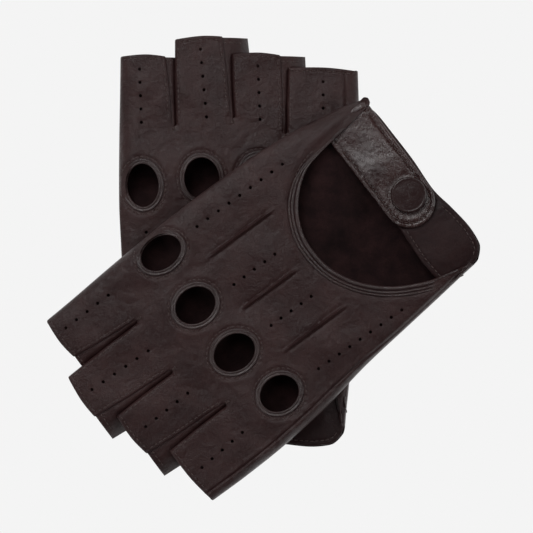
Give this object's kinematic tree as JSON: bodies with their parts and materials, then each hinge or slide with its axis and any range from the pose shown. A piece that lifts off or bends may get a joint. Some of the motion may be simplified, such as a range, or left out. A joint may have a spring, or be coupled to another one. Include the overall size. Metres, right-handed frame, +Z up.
{
  "type": "pair of driving gloves",
  "caption": "Fingerless leather driving gloves laid palm down across each other, with knuckle holes, a half-moon wrist opening and a strap closed by a press snap.",
  "frame": {"origin": "on the surface the pair lies on, under the middle of the pair's footprint", "axes": "+Z up from the surface; +Y the way the lower glove's fingers point, to within three degrees; +X towards the lower glove's little-finger side"},
  "size_m": [0.1802, 0.1938, 0.028],
  "materials": {
    "shell": "smooth dark brown nappa, soft sheen",
    "binding": "thin folded nappa edging",
    "strap": "glossier crinkled nappa, top-stitched",
    "lining": "flesh side, matt and napped",
    "snap_metal": "nickel-plated",
    "snap_spring": "phosphor-bronze spring wire"
  },
  "bodies": {
    "right_glove": {"right_back_panel": "shell", "right_palm_panel": "shell", "right_side_strip": "shell", "right_vent_binding": "binding", "right_cuff_hem": "lining", "right_strap_tail": "strap", "right_band_outer": "strap", "right_band_lining": "lining", "right_fourchette_index_middle": "shell", "right_fourchette_middle_ring": "shell", "right_fourchette_ring_little": "shell", "right_knuckle_binding_index": "binding", "right_knuckle_binding_middle": "binding", "right_knuckle_binding_ring": "binding", "right_knuckle_binding_little": "binding", "right_snap_stud": "snap_metal", "right_snap_post": "snap_metal"},
    "right_strap": {"right_strap_outer": "strap", "right_strap_lining": "lining", "right_snap_cap": "snap_metal", "right_snap_cap_cover": "strap", "right_snap_socket": "snap_metal", "right_snap_spring": "snap_spring"},
    "right_thumb": {"right_thumb": "shell"},
    "left_glove": {"left_back_panel": "shell", "left_palm_panel": "shell", "left_side_strip": "shell", "left_vent_binding": "binding", "left_cuff_hem": "lining", "left_strap_tail": "strap", "left_band_outer": "strap", "left_band_lining": "lining", "left_fourchette_index_middle": "shell", "left_fourchette_middle_ring": "shell", "left_fourchette_ring_little": "shell", "left_knuckle_binding_index": "binding", "left_knuckle_binding_middle": "binding", "left_knuckle_binding_ring": "binding", "left_knuckle_binding_little": "binding", "left_snap_stud": "snap_metal", "left_snap_post": "snap_metal"},
    "left_strap": {"left_strap_outer": "strap", "left_strap_lining": "lining", "left_snap_cap": "snap_metal", "left_snap_cap_cover": "strap", "left_snap_socket": "snap_metal", "left_snap_spring": "snap_spring"},
    "left_thumb": {"left_thumb": "shell"}
  },
  "joints": [
    {"name": "left_glove_lift", "type": "slide", "parent": "right_glove", "child": "left_glove", "axis": [0, 0, 1], "range_m": [0, 0.15]},
    {"name": "right_strap_hinge", "type": "hinge", "parent": "right_glove", "child": "right_strap", "pos_m": [-0.0391, -0.06098, 0.0118], "axis": [0.0523, -0.9986, 0], "range_deg": [0, 135]},
    {"name": "right_thumb_hinge", "type": "hinge", "parent": "right_glove", "child": "right_thumb", "pos_m": [-0.03476, -0.02921, 0.003], "axis": [0, 0, 1], "range_deg": [0, 75]},
    {"name": "left_strap_hinge", "type": "hinge", "parent": "left_glove", "child": "left_strap", "pos_m": [0.03872, 0.05632, 0.026], "axis": [-0.8221, -0.5693, 0], "range_deg": [0, 135]},
    {"name": "left_thumb_hinge", "type": "hinge", "parent": "left_glove", "child": "left_thumb", "pos_m": [0.01623, 0.03345, 0.0172], "axis": [0, 0, -1], "range_deg": [0, 75]}
  ],
  "couplings": [
    {"joint": "right_strap_hinge", "follows": "left_glove_lift", "rad_per_m": 15.707}
  ]
}
